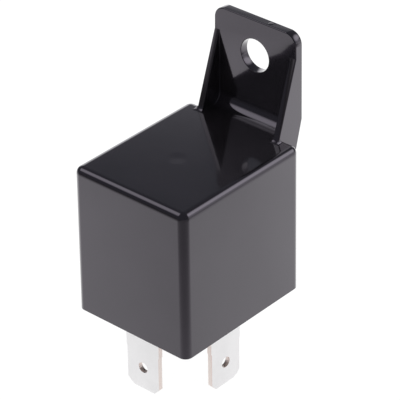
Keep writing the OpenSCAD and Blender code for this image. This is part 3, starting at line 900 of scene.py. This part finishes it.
@dataclass
class CaseShell:
    """The cover: a drafted box, open below, with the fixing bracket moulded on its back."""

    height: float = 25.0
    wall: float = 1.2
    roof: float = 1.3
    corner: float = 1.3
    top_edge: float = 1.25
    draft: float = 0.23
    ledge: float = 0.25
    base_depth: float = 2.4
    plate: float = 1.5
    bracket_width: float = 16.1
    bracket_draft: float = 0.5
    plate_corner: float = 2.0
    gusset: float = 1.1
    gusset_rise: float = 12.4
    gusset_run: float = 4.1
    foot: float = 0.85
    plate_foot: float = 2.0
    side_foot: float = 0.5
    inside_corner: float = 0.15
    rear_kink: float = 1.9
    rear_slope: float = 0.28
    floor: float = 1.5
    # Fine roundings: the bracket's edges, the rim, the hole's rims and the hollow's corners
    edge: float = 0.16
    rim_edge: float = 0.08
    flare: float = 0.09
    inner_corner: float = 0.6
    # How far tools reach past the faces they cut, and how deep feet are sunk
    over: float = 8.0
    sink: float = 0.1
    # The dish in the top, and the flat on the plate's top edge with the stub inside it
    gate: float = 4.0
    gate_depth: float = 0.015
    gate_at: Flat = (-0.7, -1.4)
    scar: Point = (1.1, 0.9, 0.035)
    scar_x: float = 2.5
    stub_r: float = 0.418
    box: tuple[Vector, Vector] = field(default_factory=lambda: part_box("case"))

    def __post_init__(self) -> None:
        """Takes the outer sizes and the fixing hole from the frame."""
        low, high = self.box[0] / MM, self.box[1] / MM
        self.half_w = high.x
        self.half_d = -low.y
        self.rear = high.y
        self.front = high.y - self.plate
        self.top = high.z
        self.kink = self.height + self.rear_kink
        hole = next(m for m in frame["record"]["mounts"] if m["name"] == "bracket_hole")
        self.hole_z = hole["pos_m"][2] / MM
        self.hole_r = hole["dims"]["r_mm"]

    def ring(self, inset: float, z: float, radius: float, steps: int = 10) -> list[Point]:
        """Rounded rectangle, inset from the rim's outline, at one height.

        Args:
            inset: distance inside the rim's outline.
            z: height.
            radius: radius of its corners.
            steps: chords in each corner.

        Returns:
            The ring's points.
        """
        x, y = self.half_w - inset - radius, self.half_d - inset - radius
        corners = [((x, y), 0), ((-x, y), 90), ((-x, -y), 180), ((x, -y), 270)]
        return [(u, v, z) for centre, turn in corners
                for u, v in arc(centre, radius, turn, turn + 90, steps)]

    def block(self) -> Object:
        """The box: drafted walls, round upright edges and a rounded top edge."""
        lean = math.tan(math.radians(self.draft))
        small = self.rim_edge
        knee = self.height - self.top_edge
        rings = [self.ring(small, 0, self.corner - small), self.ring(0, small, self.corner)]
        for back, rise in self.rounding(self.top_edge, 16):
            rings.append(self.ring(lean * knee + back, knee + rise, self.corner - back))
        return stack("case_shell", rings)

    @staticmethod
    def rounding(extent: float, steps: int, ease: float = 0.45) -> list[Flat]:
        """A polished edge, whose curve eases in and out of the two faces it joins.

        Args:
            extent: its size on each face.
            steps: number of chords.
            ease: 0 for a plain arc, 1 for the softest ends.

        Returns:
            Set-back and rise of each point, from the wall to the top.
        """
        points = [(0.0, 0.0)]
        for i in range(steps):
            t = (i + 0.5) / steps
            turn = math.pi / 2 * ((1 - ease) * t + ease * t * t * (3 - 2 * t))
            points.append((points[-1][0] + math.sin(turn), points[-1][1] + math.cos(turn)))
        return [(extent * back / points[-1][0], extent * rise / points[-1][1]) for back, rise in points]

    def cavity(self) -> Object:
        """The hollow inside, stepped where the base stops."""
        inner = self.wall + self.ledge
        levels = [(self.wall, -1), (self.wall, self.base_depth), (inner, self.base_depth),
                  (inner, self.height - self.roof)]
        return stack("cavity", [self.ring(inset, z, self.inner_corner) for inset, z in levels])

    def side_outline(self) -> list[Flat]:
        """Side view of the bracket: plate, gussets and the ribs down the back wall."""
        lean = math.degrees(math.atan(self.gusset_run / self.gusset_rise))
        toe = self.front - self.gusset_run - self.foot * math.tan(math.radians((90 - lean) / 2))
        root = self.height - self.roof / 2
        inside = self.half_d - self.wall / 2
        rib_end = self.kink - (self.rear - inside) / self.rear_slope
        return [(self.rear, self.top), (self.front, self.top),
                (self.front, self.height + self.gusset_rise),
                *arc((toe, self.height + self.foot), self.foot, -lean, -90, 10),
                (toe, root), (inside, root), (inside, rib_end), (self.rear, self.kink)]

    def front_outline(self) -> list[Flat]:
        """Front view of the bracket, with its round top corners."""
        half = self.bracket_width / 2
        slope = math.tan(math.radians(self.bracket_draft))
        top, low = half - (self.top - self.height) * slope, half + self.height * slope
        r = self.plate_corner
        return [(-low, 0), (low, 0), *arc((top - r, self.top - r), r, 0, 90, 12),
                *arc((r - top, self.top - r), r, 90, 180, 12)]

    def pocket(self, name: str, outline: list[Flat]) -> Object:
        """A space between the gussets or ribs, with rounded inside corners."""
        inner = self.bracket_width / 2 - self.gusset
        space = prism_x(name, outline, -inner, inner)
        round_edges(space, self.inside_corner, angle=60, steps=4)
        return space

    def bracket(self) -> Object:
        """The bracket: side view and front view in common, less its two pockets."""
        far = self.bracket_width
        body = combine(prism_x("bracket", self.side_outline(), -far, far),
                       prism_y("front", self.front_outline(), 0, self.rear + 5), Join.COMMON)
        tidy(body)
        round_edges(body, self.edge, angle=35)
        over = self.over
        front = [(self.half_d - over, self.top + over), (self.half_d - over, self.height),
                 *arc((self.front - self.plate_foot, self.height + self.plate_foot), self.plate_foot,
                      -90, 0, 14),
                 (self.front, self.top + over)]
        under = self.height - self.floor
        root = self.half_d - self.wall / 2
        wall = self.half_d - under * math.tan(math.radians(self.draft))
        back = [(self.rear + over, -over), (root, -over), (root, under - self.foot),
                *arc((wall + self.foot, under - self.foot), self.foot, 180, 90, 8),
                (self.rear + over, under)]
        combine(body, self.pocket("front_pocket", front), Join.CUT)
        combine(body, self.pocket("rear_pocket", back), Join.CUT)
        return body

    def side_feet(self) -> list[Object]:
        """Fillets along the outer feet of the gussets."""
        x, r, low = self.bracket_width / 2, self.side_foot, self.height
        profile = [(x - self.sink, low - self.sink), (x + r, low - self.sink),
                   *arc((x + r, low + r), r, 270, 180, 8), (x - self.sink, low + r)]
        feet, far = [], self.bracket_width
        for side in (-1, 1):
            foot = prism_y("foot", [(side * u, v) for u, v in profile], 0, self.half_d - self.top_edge)
            feet.append(combine(foot, prism_x("side", self.side_outline(), -far, far), Join.COMMON))
        return feet

    def gate_dimple(self) -> Object:
        """Cutter for the shallow dish that the gate leaves in the top."""
        r, deep = self.gate / 2, self.gate_depth
        profile = [(r * i / 10, -deep * (1 + math.cos(math.pi * i / 10)) / 2) for i in range(1, 11)]
        profile = [(0.02, -deep), *profile, (r + 0.1, 0.4), (0.02, 0.4)]
        place = Matrix.Translation((*self.gate_at, self.height))
        return lathe("dimple", profile, 40, place)

    def gate_scar(self) -> Object:
        """Cutter for the flat that a trimmed gate leaves on the plate's top edge."""
        wide, deep, low = self.scar
        y = (self.front + self.rear) / 2
        outline = [(y - deep / 2, self.top - low), (y + deep / 2, self.top - low),
                   (y + deep / 2, self.top + 1), (y - deep / 2, self.top + 1)]
        return prism_x("scar", outline, self.scar_x - wide / 2, self.scar_x + wide / 2)

    def gate_stub(self) -> Object:
        """What is left of the gate in the middle of that flat: a low, rounded stub."""
        r, low = self.stub_r, self.scar[2]
        ring = [(r * math.cos(math.radians(a)), low * (math.sin(math.radians(a)) - 1))
                for a in (0, 15, 30, 45, 60, 75, 88)]
        place = Matrix.Translation((self.scar_x, (self.front + self.rear) / 2, self.top))
        return lathe("stub", [(r, -low * 2), *ring], 24, place)

    def hole(self) -> Object:
        """Cutter for the fixing hole, flared to round both rims."""
        flare, r = self.flare, self.hole_r
        start = [(r + flare, -2.0), *[(r + flare - flare * math.sin(math.radians(a)),
                                       flare - flare * math.cos(math.radians(a)))
                                      for a in (0, 22.5, 45, 67.5, 90)]]
        profile = [*start, *[(u, self.plate - v) for u, v in reversed(start)]]
        place = Matrix.Translation((0, self.rear, self.hole_z)) @ Matrix.Rotation(math.radians(90), 4, "X")
        return lathe("hole", profile, 64, place)

    def make(self, material: Material) -> Object:
        """Builds the cover and dresses it.

        Args:
            material: its finish.

        Returns:
            The finished piece.
        """
        shell = self.block()
        combine(shell, self.bracket(), Join.ADD)
        for foot in self.side_feet():
            combine(shell, foot, Join.ADD)
        for cutter in (self.cavity(), self.hole(), self.gate_dimple(), self.gate_scar()):
            combine(shell, cutter, Join.CUT)
        combine(shell, self.gate_stub(), Join.ADD)
        tidy(shell)
        finish_mesh(shell, material)
        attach(shell, "relay")
        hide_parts("case")
        LOG.info("case_shell: %d faces", len(shell.data.polygons))
        return shell


# ---------------------------------------------------------------- coil and contact spring


@dataclass
class Coil:
    """Enamelled wire: side-by-side turns on the bobbin, and two ends led to the terminals."""

    wire: float = 0.25
    flange: float = 0.9
    rim: float = 0.3
    tube: float = 4.05
    post: Flat = (1.0, 0.8)
    post_rise: float = 1.2
    wraps: int = 3
    climb: float = 1.2
    # How loosely the ends lie round their posts, and how far in front of the axis they leave
    slack: float = 0.03
    lead: float = 3.0

    def __post_init__(self) -> None:
        """Takes the places of the bobbin and of the coil's terminals from the frame."""
        low, high = (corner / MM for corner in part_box("bobbin"))
        self.axis_y = (low.y + high.y) / 2
        self.floor_z = low.z
        self.low, self.high = low.z + self.flange, high.z - self.flange
        self.radius = min(high.x, (high.y - low.y) / 2) - self.rim
        pin_low, pin_high = (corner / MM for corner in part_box("terminal_85"))
        self.pin = ((pin_low.x + pin_high.x) / 2, (pin_low.y + pin_high.y) / 2)

    def turns(self) -> Object:
        """The wound body, whose outside shows each turn as a round bead."""
        r = self.wire / 2
        count = int((self.high - self.low) / self.wire)
        pitch = (self.high - self.low) / count
        beads = [(self.radius - r * (1 - math.sin(math.radians(a))), self.low + pitch * (i + 0.5)
                  - pitch / 2 * math.cos(math.radians(a)))
                 for i in range(count) for a in (15, 45, 75, 105, 135, 165)]
        return lathe("coil", [(self.tube, self.low), *beads, (self.tube, self.high)], 72,
                     Matrix.Translation((0, self.axis_y, 0)), hollow=True)

    def end(self, side: int) -> Object:
        """One end: straight from the winding to its terminal, then a few turns round the post."""
        pin_x, pin_y = self.pin
        wrap = math.hypot(*self.post) / 2 + self.wire / 2 + self.slack
        z = self.floor_z + self.post_rise + self.wire
        start = Vector((side * (self.radius - 4 * self.wire), self.axis_y - self.lead, z))
        path = [start, Vector((side * (pin_x - 4 * self.wire), pin_y - wrap, z))]
        steps = 24
        for i in range(steps * self.wraps + 1):
            a = math.radians(-90 + side * 360 * i / steps)
            path.append(Vector((side * pin_x + wrap * math.cos(a), pin_y + wrap * math.sin(a),
                                z + self.climb * self.wire * i / steps)))
        return tube("wire_end", path, self.wire / 2, 10)

    def make(self, material: Material) -> Object:
        """Builds the coil and dresses it.

        Args:
            material: its finish.

        Returns:
            The finished piece.
        """
        coil = self.turns()
        gather(coil, [self.end(side) for side in (-1, 1)])
        finish_mesh(coil, material, sharp=60)
        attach(coil, "relay")
        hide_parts("winding")
        LOG.info("coil: %d faces", len(coil.data.polygons))
        return coil


@dataclass
class ContactLeaf:
    """The contact spring, cut into short lengths where it flexes as the armature swings."""

    grip: float = 15.0
    free: float = 20.4
    lengths: int = 12

    def make(self, material: Material) -> Object:
        """Builds the leaf and cuts it into short lengths.

        Args:
            material: its finish.

        Returns:
            The finished piece.
        """
        leaf = new_object("contact_leaf", frame["nodes"]["contact_spring"].data.copy())
        with editing(leaf.data) as shape:
            for i in range(self.lengths + 1):
                z = self.grip + (self.free - self.grip) * i / self.lengths
                bmesh.ops.bisect_plane(shape, geom=[*shape.verts, *shape.edges, *shape.faces],
                                       plane_co=(0, 0, z * MM), plane_no=(0, 0, 1))
        dress(leaf.data, material)
        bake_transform(leaf)
        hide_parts("contact_spring")
        LOG.info("contact_leaf: %d faces", len(leaf.data.polygons))
        return leaf


@dataclass
class Rivets:
    """The rivets' own solids, freed of empty faces, with smooth heads."""

    bodies: dict[str, str]
    merge: float = 0.0001

    def make(self, material: Material) -> None:
        """Cleans and dresses each rivet and puts it on its body.

        Args:
            material: the finish of all rivets.
        """
        for node, body in self.bodies.items():
            rivet = new_object(f"{node}_headed", frame["nodes"][node].data.copy())
            rivet.data.transform(Matrix.Scale(1 / MM, 4))
            with editing(rivet.data) as shape:
                bmesh.ops.remove_doubles(shape, verts=shape.verts, dist=self.merge)
            finish_mesh(rivet, material)
            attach(rivet, body)
            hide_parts(node)
            LOG.info("%s: %d faces", rivet.name, len(rivet.data.polygons))


# ---------------------------------------------------------------- carried-over pieces


class Finish(Protocol):
    """Any of the finishes above."""

    def make(self) -> Material:
        """Builds the material."""


@dataclass
class Dressing:
    """Finishes for the pieces that keep their solids."""

    finishes: dict[str, Finish]

    def make(self) -> None:
        """Dresses each node that a finish is given for."""
        made: dict[Finish, Material] = {}
        for node, finish in self.finishes.items():
            if finish not in made:
                made[finish] = finish.make()
            dress(frame["nodes"][node].data, made[finish])
            LOG.info("%s: %s", node, made[finish].name)


def main() -> None:
    """Builds the stage and every piece in order."""
    logging.basicConfig(level=logging.INFO, format="%(message)s")
    Studio().make()
    CaseShell().make(PolishedPbt().make())
    copper = SheetMetal("enamelled_copper_wire", "#b5622c", "#8c4219", 0.28, 0.25, (0.02, 0.02, 1.0))
    Coil().make(copper.make())
    iron = SheetMetal("zinc_plated_soft_iron", "#c6c5c1", "#b4b3af", 0.38, 0.15)
    steel = SheetMetal("cold_headed_steel", "#bdbab4", "#96938d", 0.35, 0.1)
    bronze = SheetMetal("rolled_phosphor_bronze", "#cf9a5c", "#b47f45", 0.3, 0.1, (1.0, 0.05, 1.0))
    ContactLeaf().make(bronze.make())
    Rivets({"terminal_rivet": "relay", "yoke_rivet_left": "relay", "yoke_rivet_right": "relay",
            "armature_rivet_left": "armature_assembly",
            "armature_rivet_right": "armature_assembly"}).make(steel.make())
    silver = SheetMetal("pressed_silver_alloy", "#e9e7e1", "#cfccc5", 0.4, 0.1)
    brass = SheetMetal("stamped_nickel_silver", "#d8d0bd", "#bdb49f", 0.33, 0.12)
    Dressing({
        "base": SatinNylon(),
        "seal": PottingResin(),
        "terminal_87": TinnedBrass(Broadside.Y),
        "terminal_30": TinnedBrass(Broadside.X),
        "terminal_85": TinnedBrass(Broadside.X),
        "terminal_86": TinnedBrass(Broadside.X),
        "yoke": iron,
        "core": iron,
        "armature": iron,
        "bobbin": SatinNylon("natural_nylon_bobbin", "#d9d3c4", "#e4dfd2", 0.35),
        "moving_contact": silver,
        "fixed_contact": silver,
        "backstop": brass,
    }).make()


if __name__ == "__main__":
    main()
